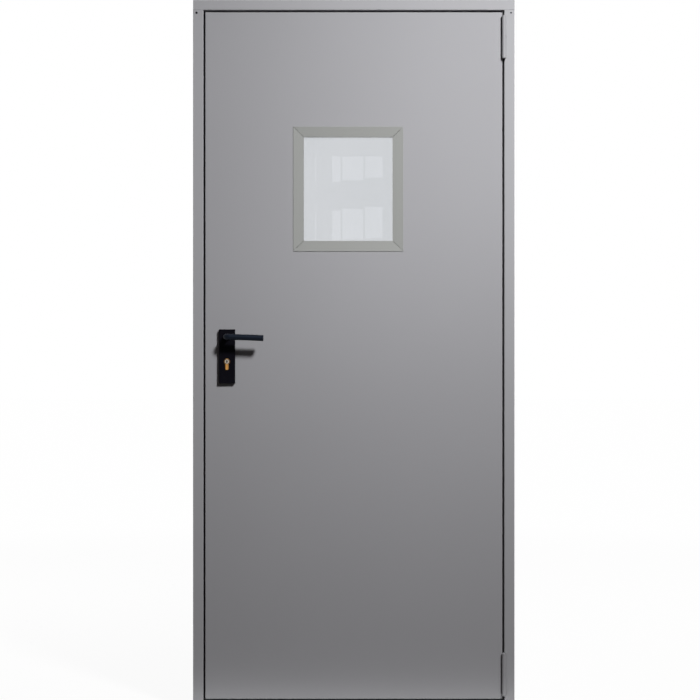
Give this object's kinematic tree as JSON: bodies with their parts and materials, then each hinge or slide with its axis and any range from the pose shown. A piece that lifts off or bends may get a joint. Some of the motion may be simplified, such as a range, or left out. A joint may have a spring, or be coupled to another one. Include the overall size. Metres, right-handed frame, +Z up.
{
  "type": "steel utility door",
  "caption": "Grey steel utility door in a folded frame, with a small glazed panel, barrel hinges, lever handles and a key cylinder; the leaf swings and the handle turns.",
  "frame": {"origin": "floor level at mid width, in the plane of the wall's face, on the underside of the threshold's floor lip", "axes": "+X to the right seen from the front, +Y into the wall, +Z up; the front faces -Y"},
  "size_m": [0.94, 0.1774, 2.08],
  "materials": {
    "frame_paint": "grey satin powder coat",
    "leaf_paint": "grey satin powder coat",
    "hinge_paint": "grey satin powder coat",
    "trim_paint": "greenish grey satin paint",
    "galvanised_sheet": "bare galvanised sheet",
    "lock_steel": "bright plated steel",
    "cylinder_brass": "satin brass",
    "plug_nickel": "nickel plated",
    "plate_plastic": "black moulded plastic",
    "lever_plastic": "black moulded plastic with a slight sheen",
    "black_rubber": "black rubber",
    "swelling_strip": "dark brown grey strip",
    "mineral_wool": "pressed mineral wool",
    "clear_glass": "clear glass",
    "spacer_metal": "bare aluminium bar"
  },
  "bodies": {
    "frame": {"frame_left_jamb": "frame_paint", "frame_right_jamb": "frame_paint", "frame_head": "frame_paint", "threshold": "frame_paint", "left_corner_bracket": "galvanised_sheet", "right_corner_bracket": "galvanised_sheet", "frame_seal": "black_rubber", "strike_box": "galvanised_sheet", "upper_hinge_frame_half": "hinge_paint", "lower_hinge_frame_half": "hinge_paint"},
    "leaf": {"leaf_front_skin": "leaf_paint", "leaf_back_skin": "leaf_paint", "leaf_core": "mineral_wool", "leaf_lock_stile": "galvanised_sheet", "leaf_hinge_stile": "galvanised_sheet", "leaf_top_rail": "galvanised_sheet", "leaf_bottom_rail": "galvanised_sheet", "edge_strips": "swelling_strip", "upper_hinge_leaf_half": "hinge_paint", "lower_hinge_leaf_half": "hinge_paint", "front_trim_top": "trim_paint", "front_trim_right": "trim_paint", "front_trim_bottom": "trim_paint", "front_trim_left": "trim_paint", "back_trim_top": "trim_paint", "back_trim_right": "trim_paint", "back_trim_bottom": "trim_paint", "back_trim_left": "trim_paint", "front_glass_pane": "clear_glass", "back_glass_pane": "clear_glass", "glass_spacer": "spacer_metal", "front_glazing_seal": "black_rubber", "back_glazing_seal": "black_rubber", "lock_case": "lock_steel", "lock_face_plate": "lock_steel", "latch_bolt": "lock_steel", "dead_bolt": "lock_steel", "key_cylinder": "cylinder_brass", "key_plugs": "plug_nickel", "front_handle_plate": "plate_plastic", "back_handle_plate": "plate_plastic"},
    "handle": {"front_lever": "lever_plastic", "back_lever": "lever_plastic", "handle_spindle": "lock_steel"}
  },
  "joints": [
    {"name": "leaf_swing", "type": "hinge", "parent": "frame", "child": "leaf", "pos_m": [0.439, -0.02, 1.0393], "axis": [0, 0, 1], "range_deg": [0, 170]},
    {"name": "handle_turn", "type": "hinge", "parent": "leaf", "child": "handle", "pos_m": [-0.37, 0.018, 1.094], "axis": [0, 1, 0], "range_deg": [0, 40], "stiffness_Nm_per_rad": 1.2, "springref_deg": -28.65}
  ]
}
